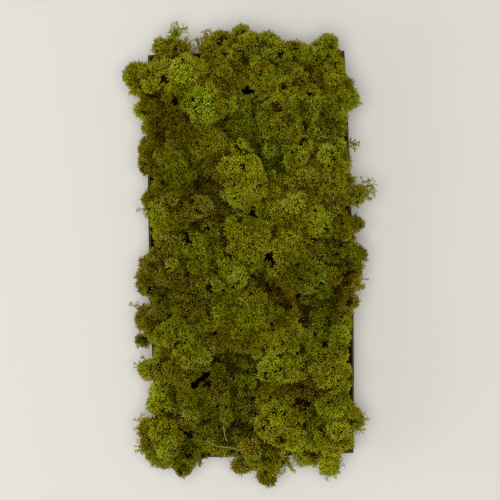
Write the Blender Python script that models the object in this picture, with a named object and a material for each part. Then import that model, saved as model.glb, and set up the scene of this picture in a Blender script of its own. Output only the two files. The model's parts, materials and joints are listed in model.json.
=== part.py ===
# A shallow tray of corrugated cardboard, heaped with reindeer moss.
# Each moss cushion stands on the tray's floor and opens above the rim into rounded heads,
# whose pointed branch tips are raised from the surface, larger than life.
# Lengths are in millimetres here and become metres when a mesh is made.
# +X is to the right and +Y to the back of the tray; the origin is under its middle.
import math
import random

import bmesh
import bpy
from mathutils import Matrix, Vector

MM = 0.001

# The tray
TRAY_WIDTH = 165.0
TRAY_LENGTH = 338.0
TRAY_DEPTH = 40.0
BOARD = 1.6
SIDE_BULGE = 3.0  # the filling presses the long walls out this far, halfway along the rim
END_BULGE = 1.0
WALL_STEPS = 6
FIT_GAP = 0.3

# The cushions
HEART_HEIGHT = 44.0  # a cushion branches out from a point just above the rim
HEART_INSET = 6.0  # and at least this far inside the walls
CUSHION_GAP = 0.3
NEIGHBOURHOOD = 90.0  # cushions whose hearts lie further apart can't touch
HEAD_SWELL = 1.08  # heads bulge a little past the radius that shows from above
CORE_RISE = 0.5  # how far the core climbs from the heart towards the crowns
CORE_SQUARENESS = 4
CORE_REACH = 12.0  # and how far past the heads it fills the room between cushions
CORE_SLIMMEST = 6.0
RIM_CLEARANCE = 1.0  # above this the walls no longer hold a cushion in
HANG_LOWEST = 22.0  # a head that leans over the rim hangs no lower than this

# Each cushion's foot: a ring of points on the floor and a wider one at its waist
FOOT_POINTS = 7
FOOT_RADIUS = 9.0
WAIST_POINTS = 8
WAIST_RADIUS = 13.0
WAIST_HEIGHT = 21.0
FOOT_SLIMMEST = 3.0
FOOT_CLEARANCE = 0.2

# The relief of branch tips
CANDIDATES = 700  # ways out of the heart that are tried, spread over a ball
LOW_CROWN = 57.0  # a cushion with a head lower than this leans over the rim
LOWEST_BRANCH = -0.12  # the steepest way down, as a height on the unit ball
LOWEST_LEANING_BRANCH = -0.38
BRANCH_SPACING = 6.5
PRESSED_SPACING = 16.0  # where a neighbour presses on a cushion, its side is plainer
CORNER_SPACING = 5.0
TIP_RELIEF = 4.2
CORE_RELIEF = 1.6
RELIEF_RANGE = (0.7, 1.2)
TIP_JITTER = 0.9
TIP_LEAN = (0.6, 1.4)  # how unevenly a tip lies between the hollows round it
LOOSEST_EDGE = 0.05  # edges shorter than this are merged after a cut

# Branch colours as linear red, green, blue
TONES = {
    "bright": (0.155, 0.150, 0.008),
    "olive": (0.095, 0.090, 0.006),
    "green": (0.070, 0.085, 0.008),
    "brown": (0.075, 0.058, 0.006),
}
BOARD_COLOUR = (0.205, 0.150, 0.085)

# The heap was laid out on a plan that lies turned and shifted against the tray
PLAN_TURN = math.radians(-1.3)
PLAN_SHIFT = Vector((0.5, 1.3))

# Each cushion: its tone, then its heads as (x, y, height of the crown, radius) on the plan
PLAN = (
    # back edge, left to right
    ("olive", (-74, 170, 62, 8.5), (-59, 168, 65, 8), (-65, 182, 60, 6), (-67, 162, 62, 8),
     (-67, 154, 68, 8)),
    ("brown", (-32, 172, 62, 8.5), (-26, 176, 63, 8), (-37, 163, 65, 7)),
    ("olive", (-9, 181, 60, 8), (-13, 171, 67, 8.5), (1, 173, 64, 9), (-5, 161, 69, 9),
     (14, 175, 61, 8), (24, 167, 65, 9.5), (12, 165, 63, 8)),
    ("olive", (37, 164, 67, 10.5), (47, 163, 66, 10), (30, 156, 63, 9), (43, 147, 67, 9),
     (55, 146, 66, 8)),
    ("green", (61, 169, 65, 11.5), (65, 162, 64, 8), (57, 161, 68, 9), (66, 151, 70, 11)),
    # second row
    ("bright", (-96, 147, 57, 10), (-87, 147, 62, 9.5), (-90, 137, 58, 8.5), (-81, 139, 67, 9),
     (-71, 144, 72, 8)),
    ("bright", (-55, 149, 76, 13), (-44, 152, 72, 9), (-58, 135, 77, 11)),
    ("olive", (-23, 149, 72, 10), (-34, 143, 67, 9), (-16, 141, 65, 8)),
    ("olive", (5, 152, 71, 10), (14, 140, 72, 10), (27, 133, 75, 12), (21, 121, 71, 9),
     (34, 120, 70, 8)),
    ("bright", (75, 140, 65, 8.5), (81, 130, 61, 8), (68, 138, 71, 10), (79, 124, 54, 7)),
    # third row
    ("bright", (-88, 119, 57, 8.5), (-82, 122, 61, 9), (-76, 114, 60, 8), (-82, 105, 59, 8)),
    ("bright", (-36, 131, 76, 12), (-49, 123, 73, 10), (-23, 122, 74, 11), (-38, 114, 74, 10)),
    ("green", (-13, 104, 66, 12), (-2, 112, 65, 10), (-22, 103, 66, 8), (-2, 98, 64, 9)),
    ("olive", (-64, 110, 65, 10), (-56, 99, 70, 10), (-69, 98, 60, 8)),
    ("olive", (-39, 102, 69, 10), (-30, 90, 72, 11), (-43, 87, 71, 10), (-49, 73, 65, 9),
     (-35, 72, 66, 9)),
    ("green", (14, 108, 69, 11), (25, 102, 70, 10), (11, 95, 65, 8), (16, 84, 65, 11),
     (21, 73, 62, 8)),
    ("olive", (50, 122, 72, 10), (64, 127, 70, 9), (45, 105, 72, 11), (56, 99, 70, 10),
     (72, 107, 65, 9), (69, 96, 65, 8), (70, 117, 64, 7.5)),
    # fourth row
    ("olive", (-83, 87, 61, 10.5), (-83, 73, 58, 10.5), (-77, 80, 64, 8), (-67, 76, 75, 11),
     (-69, 62, 78, 10), (-58, 63, 75, 8), (-63, 88, 68, 8)),
    ("bright", (-9, 84, 72, 10), (-19, 70, 76, 10), (-4, 68, 79, 12), (3, 54, 80, 11),
     (-12, 51, 78, 11)),
    ("olive", (43, 88, 74, 10), (37, 75, 73, 10), (47, 62, 74, 11), (34, 59, 69, 8)),
    ("bright", (62, 80, 74, 11), (72, 83, 67, 8), (75, 72, 64, 8), (60, 67, 69, 8)),
    ("bright", (69, 54, 75, 11), (79, 57, 67, 7), (89, 50, 56, 6.5), (87, 47, 55, 7.5),
     (74, 48, 65, 8)),
    # fifth row
    ("bright", (-80, 46, 62, 9.5), (-79, 33, 62, 9), (-72, 22, 65, 8), (-67, 39, 75, 10),
     (-67, 26, 74, 10), (-56, 34, 72, 9)),
    ("brown", (-43, 39, 72, 11), (-33, 44, 64, 8), (-46, 50, 61, 8), (-23, 32, 64, 8)),
    ("bright", (19, 52, 70, 8), (12, 40, 68, 8), (23, 34, 73, 9), (35, 39, 77, 10),
     (47, 45, 74, 9), (29, 23, 73, 9), (40, 26, 75, 8)),
    ("bright", (53, 27, 79, 11), (61, 20, 73, 7), (50, 13, 71, 8), (75, 21, 65, 10),
     (88, 24, 56, 6.5), (79, 10, 61, 8), (67, 34, 68, 8)),
    # sixth row
    ("bright", (-72, 10, 61, 8), (-67, 13, 67, 9), (-66, 0, 68, 9), (-77, -3, 61, 8),
     (-60, -13, 69, 8)),
    ("green", (-43, 5, 75, 11), (-53, 12, 69, 8), (-42, -9, 72, 11), (-33, 20, 66, 10),
     (-25, 8, 63, 8)),
    ("bright", (-11, 22, 74, 10), (4, 15, 77, 10), (-3, 3, 77, 11), (-14, 8, 70, 8)),
    ("bright", (30, 12, 75, 12), (24, 0, 74, 10), (38, 1, 75, 9)),
    ("olive", (55, 2, 69, 9), (59, -10, 69, 8), (46, -1, 66, 8)),
    ("green", (68, -1, 69, 10), (81, -3, 61, 10), (90, -1, 52, 6), (82, 9, 56, 7),
     (86, -14, 54, 7)),
    ("brown", (-82, -11, 58, 10.5), (-87, -24, 51, 8.5), (-84, -32, 55, 8.5), (-77, -25, 60, 8),
     (-69, -19, 70, 8), (-58, -26, 67, 8)),
    # seventh row
    ("olive", (-35, -27, 72, 11), (-46, -34, 68, 8), (-52, -49, 75, 12), (-62, -40, 71, 8)),
    ("bright", (-17, -10, 76, 10), (-10, -20, 79, 8), (0, -9, 70, 9), (-24, -3, 69, 8)),
    ("brown", (6, -28, 61, 12), (18, -30, 60, 8), (30, -42, 62, 10), (21, -12, 74, 8),
     (30, -20, 77, 10)),
    ("green", (48, -21, 72, 12), (59, -30, 68, 9)),
    ("brown", (67, -20, 68, 8), (81, -26, 59, 9), (81, -41, 57, 8), (78, -37, 60, 8),
     (74, -49, 62, 8)),
    # eighth row
    ("olive", (-89, -53, 56, 8), (-79, -52, 61, 8), (-83, -63, 61, 9.5), (-90, -73, 52, 6.5),
     (-75, -74, 61, 8), (-71, -65, 72, 8)),
    ("bright", (-61, -68, 80, 13), (-50, -74, 76, 9), (-35, -68, 72, 10), (-43, -82, 76, 10),
     (-54, -88, 73, 9)),
    ("bright", (-26, -43, 71, 9), (-23, -55, 76, 10), (-17, -67, 77, 10), (2, -39, 76, 10),
     (-1, -54, 80, 12), (10, -61, 78, 8), (-3, -73, 80, 11)),
    ("bright", (28, -58, 74, 10), (29, -73, 77, 11), (34, -64, 73, 8)),
    ("green", (59, -46, 63, 11), (55, -64, 63, 11), (71, -69, 68, 10), (77, -56, 61, 8),
     (68, -75, 66, 8)),
    # ninth row
    ("olive", (-86, -98, 53, 8.5), (-79, -98, 59, 9), (-71, -86, 60, 8), (-64, -98, 71, 10),
     (-50, -98, 70, 9)),
    ("green", (-18, -83, 62, 10), (-4, -88, 64, 10), (-25, -99, 66, 9), (-15, -103, 62, 8),
     (-5, -110, 67, 10)),
    ("bright", (21, -84, 74, 8), (16, -97, 76, 10), (28, -98, 77, 10), (42, -84, 67, 9),
     (40, -97, 70, 8)),
    ("bright", (66, -89, 76, 11), (65, -104, 78, 11), (55, -97, 72, 8), (72, -107, 60, 7)),
    # tenth row
    ("bright", (-75, -115, 62, 8.5), (-79, -128, 58, 8.5), (-69, -127, 64, 8), (-69, -115, 62, 7)),
    ("olive", (-52, -122, 70, 10), (-51, -135, 68, 9), (-33, -116, 71, 11), (-21, -117, 66, 8)),
    ("brown", (14, -116, 71, 11), (25, -119, 67, 8), (35, -111, 60, 8), (45, -125, 63, 10),
     (50, -113, 63, 8)),
    ("olive", (64, -127, 73, 11), (73, -127, 70, 10), (82, -137, 62, 8), (88, -140, 50, 7)),
    # eleventh row
    ("olive", (-24, -136, 66, 9), (-9, -132, 60, 10), (-11, -149, 61, 9), (-23, -149, 60, 8),
     (-28, -161, 58, 8), (-17, -163, 58, 7)),
    ("bright", (21, -132, 77, 11), (32, -139, 75, 10), (12, -144, 72, 9), (23, -151, 75, 10),
     (35, -154, 72, 9)),
    # front edge
    ("bright", (-84, -148, 58, 9.5), (-72, -147, 70, 11), (-69, -161, 70, 10), (-83, -160, 55, 9.5),
     (-79, -171, 51, 8), (-68, -174, 52, 7)),
    ("green", (-37, -153, 63, 10), (-48, -153, 61, 9), (-53, -166, 59, 10), (-57, -181, 46, 7),
     (-43, -173, 52, 7)),
    ("olive", (1, -161, 69, 10), (-8, -177, 53, 8), (14, -173, 60, 9), (13, -187, 50, 8),
     (25, -173, 51, 7), (3, -170, 58, 8)),
    ("olive", (50, -142, 64, 10), (45, -156, 65, 8), (55, -154, 67, 9), (42, -169, 58, 8),
     (54, -171, 52, 7)),
    ("bright", (72, -146, 68, 10), (73, -158, 60, 8), (66, -161, 65, 8), (64, -168, 61, 8),
     (65, -178, 51, 9)),
)

# Open forked sprays that stand out past the heads: cushion, then (x, y, z) of root and of tip on the plan
SPRAYS = (
    (1, (-66, 178, 54), (-66, 191, 56)),
    (22, (89, 51, 50), (102, 57, 50)),
    (51, (86, -140, 46), (97, -142, 43)),
    (56, (19, -175, 47), (26, -184, 43)),
    (58, (64, -176, 47), (69, -187, 43)),
    (32, (89, -3, 48), (98, -4, 47)),
    (55, (-57, -180, 43), (-53, -189, 40)),
)
SPRAY_STEMS = 3
SPRAY_FAN = 0.5  # how far apart the stems of a spray lean
SPRAY_ROOT = 4.0  # how deep they are sunk in the cushion
SPRAY_FORKS = 2
SPRAY_THREAD = 1.5
SPRAY_TAPER = 0.75
SPRAY_SPREAD = 0.5  # how far apart the two branches of a fork lean
SPREAD_RANGE = (0.7, 1.3)
SHORTENING = (0.7, 0.95)


def unit(angle):
    return Vector((math.cos(angle), math.sin(angle)))


def on_tray(place):
    x, y = Matrix.Rotation(PLAN_TURN, 2) @ Vector(place[:2]) + PLAN_SHIFT
    return (x, y, *place[2:])


CUSHIONS = [[on_tray(head) for head in entry[1:]] for entry in PLAN]


def material(name, colour, roughness):
    made = bpy.data.materials.new(name)
    made.use_nodes = True
    shader = made.node_tree.nodes["Principled BSDF"]
    shader.inputs["Base Color"].default_value = (*colour, 1.0)
    shader.inputs["Roughness"].default_value = roughness
    shader.inputs["Metallic"].default_value = 0.0
    return made


def object_from(bm, name, finish, folder):
    mesh = bpy.data.meshes.new(name)
    bmesh.ops.scale(bm, vec=(MM, MM, MM), verts=bm.verts)
    bm.to_mesh(mesh)
    bm.free()
    made = bpy.data.objects.new(name, mesh)
    if finish:
        mesh.materials.append(finish)
    folder.objects.link(made)
    return made


# The tray's walls, straight along their fold at the floor and bowed outwards at the rim

def tray_outline(bm, height, inset):
    half = Vector((TRAY_WIDTH / 2 - inset, TRAY_LENGTH / 2 - inset))
    rise = height / TRAY_DEPTH
    loop = []
    for across, along in ((1, 0), (0, 1), (-1, 0), (0, -1)):
        for step in range(WALL_STEPS):
            run = 2 * step / WALL_STEPS - 1
            bow = rise * (1 - run * run)
            if across:
                point = (across * (half.x + SIDE_BULGE * bow), across * half.y * run)
            else:
                point = (-along * half.x * run, along * (half.y + END_BULGE * bow))
            loop.append(bm.verts.new((*point, height)))
    return loop


def bridge(bm, low, high):
    for i, vert in enumerate(low):
        after = (i + 1) % len(low)
        bm.faces.new((vert, low[after], high[after], high[i]))


def tray(folder):
    bm = bmesh.new()
    outside = tray_outline(bm, 0, 0)
    rim_outside = tray_outline(bm, TRAY_DEPTH, 0)
    rim_inside = tray_outline(bm, TRAY_DEPTH, BOARD)
    inside = tray_outline(bm, BOARD, BOARD)
    bridge(bm, outside, rim_outside)
    bridge(bm, rim_outside, rim_inside)
    bridge(bm, rim_inside, inside)
    bm.faces.new(inside)
    bm.faces.new(reversed(outside))
    bmesh.ops.recalc_face_normals(bm, faces=bm.faces)
    return object_from(bm, "tray", material("corrugated_cardboard", BOARD_COLOUR, 0.9), folder)


def wall_cutter(folder):
    bm = bmesh.new()
    loops = [
        tray_outline(bm, 0, -FIT_GAP),
        tray_outline(bm, TRAY_DEPTH + FIT_GAP, -FIT_GAP),
        tray_outline(bm, TRAY_DEPTH + FIT_GAP, BOARD + FIT_GAP),
        tray_outline(bm, 0, BOARD + FIT_GAP),
    ]
    for i, loop in enumerate(loops):
        bridge(bm, loop, loops[(i + 1) % len(loops)])
    bmesh.ops.recalc_face_normals(bm, faces=bm.faces)
    made = object_from(bm, "wall_cutter", None, folder)
    made.hide_render = True
    made.display_type = "WIRE"
    return made


# Room for each cushion: its neighbours press it flat along upright planes between them

def heart(heads):
    middle = sum((Vector(h[:2]) for h in heads), Vector((0, 0))) / len(heads)
    reach_x = TRAY_WIDTH / 2 - BOARD - HEART_INSET
    reach_y = TRAY_LENGTH / 2 - BOARD - HEART_INSET
    x = max(-reach_x, min(reach_x, middle.x))
    y = max(-reach_y, min(reach_y, middle.y))
    return Vector((x, y, HEART_HEIGHT))


def parting_plane(mine, others, turns=48):
    best = None
    for turn in range(turns):
        normal = unit(2 * math.pi * turn / turns)
        near = max(normal.dot(Vector(h[:2])) + h[3] for h in mine)
        far = min(normal.dot(Vector(h[:2])) - h[3] for h in others)
        if best is None or far - near > best[0]:
            best = (far - near, normal, (near + far) / 2)
    return best[1], best[2] - CUSHION_GAP / 2


def cell(index):
    centre = heart(CUSHIONS[index])
    planes = []
    for other, heads in enumerate(CUSHIONS):
        if other == index or (heart(heads) - centre).length > NEIGHBOURHOOD:
            continue
        first, second = sorted((index, other))
        normal, offset = parting_plane(CUSHIONS[first], CUSHIONS[second])
        if index == second:
            normal, offset = -normal, -(offset + CUSHION_GAP)
        planes.append((Vector((*normal, 0)), offset))
    planes.append((Vector((0, 0, -1)), -(BOARD + FIT_GAP)))
    return planes


def reach(centre, way, planes):
    longest = math.inf
    for normal, offset in planes:
        towards = normal.dot(way)
        if towards > 1e-6:
            longest = min(longest, (offset - normal.dot(centre)) / towards)
    # Below the rim the tray's walls are in the way, and outside them a head hangs only so low
    run = run_to_wall(centre, way)
    if centre.z + run * way.z < TRAY_DEPTH + RIM_CLEARANCE:
        longest = min(longest, run)
    far = centre + way * min(longest, TRAY_LENGTH)
    if way.z < 0 and (abs(far.x) > TRAY_WIDTH / 2 or abs(far.y) > TRAY_LENGTH / 2):
        longest = min(longest, (HANG_LOWEST - centre.z) / way.z)
    return longest


def clipped(outline, normal, offset):
    kept = []
    for i, point in enumerate(outline):
        after = outline[(i + 1) % len(outline)]
        here = normal.dot(point) - offset
        there = normal.dot(after) - offset
        if here <= 0:
            kept.append(point)
        if here * there < 0:
            kept.append(point.lerp(after, here / (here - there)))
    return kept


def corner_ways(centre, heads, planes):
    """Ways to the corners of a cushion's room, level and up to the shoulder of its core."""
    half_x = TRAY_WIDTH / 2 - BOARD - FIT_GAP
    half_y = TRAY_LENGTH / 2 - BOARD - FIT_GAP
    room = [Vector((x * half_x, y * half_y)) for x, y in ((1, -1), (1, 1), (-1, 1), (-1, -1))]
    for normal, offset in planes:
        if not normal.z:
            room = clipped(room, normal.xy, offset)
    ways = []
    for corner in room:
        out = corner - centre.xy
        for rise in (0, core_rise(centre, heads)):
            ways.append(Vector((*out, rise)).normalized())
    return ways


# The surface of a cushion: heads on a core, told by the distance from its heart

def head_distance(way, centre, head):
    x, y, crown, radius = head
    radius *= HEAD_SWELL
    middle = Vector((x, y, crown - radius)) - centre
    along = middle.dot(way)
    inside = radius * radius - (middle.length_squared - along * along)
    return along + math.sqrt(inside) if inside > 0 and along > -radius else 0.0


def run_to_wall(centre, level):
    runs = [math.inf]
    for axis, half in ((0, TRAY_WIDTH / 2), (1, TRAY_LENGTH / 2)):
        if abs(level[axis]) > 1e-6:
            inner = half - BOARD - FIT_GAP
            runs.append((inner - centre[axis] * math.copysign(1, level[axis])) / abs(level[axis]))
    return min(runs)


def core_rise(centre, heads):
    return CORE_RISE * (sum(h[2] for h in heads) / len(heads) - centre.z)


def core_distance(way, centre, heads):
    rise = core_rise(centre, heads)
    level = Vector((way.x, way.y))
    spread = level.length
    if spread < 1e-6:
        return rise
    level /= spread
    side = max(level.dot(Vector(h[:2]) - centre.xy) + h[3] for h in heads)
    side = max(side, min(side + CORE_REACH, run_to_wall(centre, level)))
    power = CORE_SQUARENESS
    around = (spread / max(side, CORE_SLIMMEST)) ** power + (abs(way.z) / rise) ** power
    return around ** (-1 / power)


def surface_distance(way, centre, heads, sunk=0.0):
    """Distance from the heart to the tips, or, sunk in full, to the hollows between them."""
    core = core_distance(way, centre, heads) - sunk * CORE_RELIEF
    crowns = (head_distance(way, centre, head) - sunk * TIP_RELIEF for head in heads)
    return max(core, *crowns)


def branching_ways(centre, heads, planes, rng):
    """Ways out of the heart, so that the points where they meet the surface lie evenly apart."""
    leaning = min(h[2] for h in heads) < LOW_CROWN
    lowest = LOWEST_LEANING_BRANCH if leaning else LOWEST_BRANCH
    golden = math.pi * (3 - math.sqrt(5))
    order = list(range(CANDIDATES))
    rng.shuffle(order)
    tried = [(way, CORNER_SPACING) for way in corner_ways(centre, heads, planes)]
    for k in order:
        up = 1 - (1 - lowest) * (k + 0.5) / CANDIDATES
        flat = unit(k * golden) * math.sqrt(1 - up * up)
        tried.append((Vector((*flat, up)), None))
    ways = []
    points = []
    for way, spacing in tried:
        surface = surface_distance(way, centre, heads)
        room = reach(centre, way, planes)
        point = way * min(surface, room)
        apart = spacing or (PRESSED_SPACING if surface > room else BRANCH_SPACING)
        if all((point - other).length > apart for other in points):
            ways.append(way)
            points.append(point)
    return ways


def is_free(face, centre, heads, planes):
    way = face.calc_center_median().normalized()
    return surface_distance(way, centre, heads) < reach(centre, way, planes)


def foot_points(centre, planes):
    points = []
    rings = (
        (FOOT_POINTS, FOOT_RADIUS, BOARD + FIT_GAP),
        (WAIST_POINTS, WAIST_RADIUS, WAIST_HEIGHT),
    )
    for count, radius, height in rings:
        middle = Vector((*centre.xy, WAIST_HEIGHT))
        for k in range(count):
            flat = unit(2 * math.pi * (k + 0.5) / count)
            room = reach(middle, Vector((*flat, 0)), planes) - FOOT_CLEARANCE
            out = min(radius, max(FOOT_SLIMMEST, room))
            points.append(Vector((*(flat * out), height - centre.z)))
    return points


def cushion(index, finish, folder, cutter):
    heads = CUSHIONS[index]
    rng = random.Random(index + 1)
    centre = heart(heads)
    planes = cell(index)
    ways = branching_ways(centre, heads, planes, rng)
    foot = foot_points(centre, planes)
    bm = bmesh.new()
    crown = [bm.verts.new(way) for way in ways]
    below = {bm.verts.new(point.normalized()): point for point in foot}
    hull = bmesh.ops.convex_hull(bm, input=bm.verts)
    left_over = hull["geom_interior"] + hull["geom_unused"]
    stray = [item for item in left_over if isinstance(item, bmesh.types.BMVert)]
    bmesh.ops.delete(bm, geom=stray, context="VERTS")
    upper = set(crown)
    above_foot = [f for f in bm.faces if all(v in upper for v in f.verts)]
    branching = [f for f in above_foot if is_free(f, centre, heads, planes)]
    tips = set(bmesh.ops.poke(bm, faces=branching)["verts"])
    for tip in sorted(tips, key=lambda v: v.index):
        around = [edge.other_vert(tip).co for edge in tip.link_edges]
        weights = [rng.uniform(*TIP_LEAN) for _ in around]
        tip.co = sum((co * w for co, w in zip(around, weights)), Vector()) / sum(weights)
    for vert in bm.verts:
        if vert in below:
            vert.co = centre + below[vert]
            continue
        way = vert.co.normalized()
        if vert in tips:
            distance = surface_distance(way, centre, heads) + rng.uniform(-TIP_JITTER, TIP_JITTER)
        else:
            distance = surface_distance(way, centre, heads, rng.uniform(*RELIEF_RANGE))
        vert.co = centre + way * min(distance, reach(centre, way, planes))
    bmesh.ops.recalc_face_normals(bm, faces=bm.faces)
    half_x = TRAY_WIDTH / 2 - BOARD - 2 * FIT_GAP
    half_y = TRAY_LENGTH / 2 - BOARD - 2 * FIT_GAP
    at_wall = any(abs(v.co.x) > half_x or abs(v.co.y) > half_y for v in bm.verts)
    made = object_from(bm, f"moss_cushion_{index + 1:02d}", finish, folder)
    if at_wall:
        boolean(made, "DIFFERENCE", cutter)
    return made


# An open spray: thin three-sided stems that fork and fork again, joined to their cushion

def stem(start, end, radius_start, radius_end, folder):
    bm = bmesh.new()
    along = end - start
    bmesh.ops.create_cone(
        bm, cap_ends=True, segments=3, radius1=radius_start, radius2=radius_end, depth=along.length
    )
    turn = along.to_track_quat("Z", "Y").to_matrix().to_4x4()
    bmesh.ops.transform(bm, matrix=Matrix.Translation((start + end) / 2) @ turn, verts=bm.verts)
    object_from(bm, "stem", None, folder)


def fork(start, way, length, radius, forks, rng, folder):
    end = start + way * length
    stem(start, end, radius, radius * SPRAY_TAPER, folder)
    if not forks:
        return
    turn = Vector([rng.uniform(-1, 1) for _ in range(3)])
    across = way.cross(turn).normalized()
    for side in (-1, 1):
        lean = side * SPRAY_SPREAD * rng.uniform(*SPREAD_RANGE)
        branch = (way + across * lean).normalized()
        shorter = length * rng.uniform(*SHORTENING)
        root = end - way * radius / 2
        fork(root, branch, shorter, radius * SPRAY_TAPER, forks - 1, rng, folder)


def spray(target, root, tip, seed):
    rng = random.Random(seed)
    folder = bpy.data.collections.new("stems")
    bpy.context.scene.collection.children.link(folder)
    root, tip = Vector(root), Vector(tip)
    way = (tip - root).normalized()
    shortening = sum(SHORTENING) / 2
    length = (tip - root).length / (1 + SPRAY_FORKS * shortening) + SPRAY_ROOT / 2
    side = way.cross(Vector((0, 0, 1))).normalized()
    for k in range(SPRAY_STEMS):
        lean = SPRAY_FAN * (k - (SPRAY_STEMS - 1) / 2)
        start = root - way * SPRAY_ROOT + Vector((0, 0, rng.uniform(-1, 1)))
        stem_way = (way + side * lean).normalized()
        fork(start, stem_way, length, SPRAY_THREAD, SPRAY_FORKS, rng, folder)
    boolean(target, "UNION", folder)
    for made in list(folder.objects):
        bpy.data.objects.remove(made)
    bpy.data.collections.remove(folder)


# Booleans are applied at once, so that what a cut leaves loose can be dropped

def boolean(target, operation, tool):
    modifier = target.modifiers.new(operation.lower(), "BOOLEAN")
    modifier.operation = operation
    modifier.solver = "MANIFOLD" if operation == "UNION" else "EXACT"
    if isinstance(tool, bpy.types.Collection):
        modifier.operand_type = "COLLECTION"
        modifier.collection = tool
    else:
        modifier.object = tool
    evaluated = target.evaluated_get(bpy.context.evaluated_depsgraph_get())
    mesh = bpy.data.meshes.new_from_object(evaluated)
    target.modifiers.remove(modifier)
    old = target.data
    target.data = mesh
    bpy.data.meshes.remove(old)
    mesh.name = target.name
    bm = bmesh.new()
    bm.from_mesh(mesh)
    if operation == "DIFFERENCE":
        bmesh.ops.remove_doubles(bm, verts=bm.verts, dist=LOOSEST_EDGE * MM)
        bmesh.ops.dissolve_degenerate(bm, edges=bm.edges, dist=LOOSEST_EDGE * MM)
    islands = connected(bm)
    keep = max(islands, key=len)
    bmesh.ops.delete(bm, geom=[v for v in bm.verts if v not in keep], context="VERTS")
    bmesh.ops.triangulate(bm, faces=bm.faces)
    bm.to_mesh(mesh)
    bm.free()


def connected(bm):
    left = set(bm.verts)
    islands = []
    while left:
        island = set()
        ahead = [left.pop()]
        while ahead:
            vert = ahead.pop()
            island.add(vert)
            for edge in vert.link_edges:
                other = edge.other_vert(vert)
                if other in left:
                    left.remove(other)
                    ahead.append(other)
        islands.append(island)
    return islands


def build():
    for old in list(bpy.data.objects):
        bpy.data.objects.remove(old)
    scene = bpy.context.scene
    parts = bpy.data.collections.new("reindeer_moss_tray")
    cutters = bpy.data.collections.new("cutters")
    scene.collection.children.link(parts)
    scene.collection.children.link(cutters)
    tray(parts)
    cutter = wall_cutter(cutters)
    finishes = {tone: material(f"moss_{tone}", colour, 0.85) for tone, colour in TONES.items()}
    cushions = [cushion(i, finishes[entry[0]], parts, cutter) for i, entry in enumerate(PLAN)]
    for number, root, tip in SPRAYS:
        spray(cushions[number - 1], on_tray(root), on_tray(tip), number)


build()
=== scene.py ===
import itertools
import json
import math

import bpy
import numpy as np
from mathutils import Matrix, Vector


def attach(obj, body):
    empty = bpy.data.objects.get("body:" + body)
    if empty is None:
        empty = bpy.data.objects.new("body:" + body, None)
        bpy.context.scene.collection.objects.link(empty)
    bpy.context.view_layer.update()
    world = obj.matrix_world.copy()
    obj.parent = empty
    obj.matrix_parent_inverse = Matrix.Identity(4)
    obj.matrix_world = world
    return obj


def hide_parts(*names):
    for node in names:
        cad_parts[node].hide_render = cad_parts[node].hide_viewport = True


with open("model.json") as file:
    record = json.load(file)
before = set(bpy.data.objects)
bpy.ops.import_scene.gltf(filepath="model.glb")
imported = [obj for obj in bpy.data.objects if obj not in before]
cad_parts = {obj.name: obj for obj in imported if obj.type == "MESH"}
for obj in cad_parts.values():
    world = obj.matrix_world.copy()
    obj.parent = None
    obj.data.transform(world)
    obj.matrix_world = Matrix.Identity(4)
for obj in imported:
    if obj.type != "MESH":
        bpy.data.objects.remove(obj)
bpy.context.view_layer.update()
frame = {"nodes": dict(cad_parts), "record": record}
mm = 0.001  # scene units are metres, the sizes below are millimetres
rng = np.random.default_rng(7)

scene = bpy.context.scene
scene.view_settings.view_transform = "Standard"
scene.view_settings.look = "None"


def linear(hexColour):
    channels = [int(hexColour[i:i + 2], 16) / 255 for i in (1, 3, 5)]
    return tuple(c / 12.92 if c <= 0.04045 else ((c + 0.055) / 1.055) ** 2.4 for c in channels) + (1.0,)


def addNode(tree, kind, settings):
    # a setting is a link from another node, the stops of a ramp, the value of a socket or a property
    node = tree.nodes.new(kind)
    for name, value in settings.items():
        if isinstance(value, bpy.types.NodeSocket):
            tree.links.new(value, node.inputs[name])
        elif name == "stops":
            points = node.color_ramp.elements
            while len(points) < len(value):
                points.new(0.5)
            for point, (place, colour) in zip(points, value):
                point.position = place
                point.color = linear(colour)
        elif isinstance(name, int) or name in node.inputs:
            node.inputs[name].default_value = value
        else:
            setattr(node, name, value)
    return node


def newMaterial(name, roughness, specular):
    made = bpy.data.materials.new(name)
    made.use_nodes = True
    shader = made.node_tree.nodes["Principled BSDF"]
    shader.inputs["Roughness"].default_value = roughness
    shader.inputs["Specular IOR Level"].default_value = specular
    return made, made.node_tree, shader


def newPiece(name, points, faces, material, attributes=None, smooth=True):
    mesh = bpy.data.meshes.new(name)
    mesh.from_pydata(np.asarray(points) * mm, [], faces)
    for key, values in (attributes or {}).items():
        mesh.attributes.new(key, "FLOAT", "POINT").data.foreach_set("value", values.astype(np.float32))
    if smooth:
        mesh.shade_smooth()
    mesh.materials.append(material)
    made = bpy.data.objects.new(name, mesh)
    scene.collection.objects.link(made)
    return made


# The tray, which the moss fills and leans over

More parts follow.
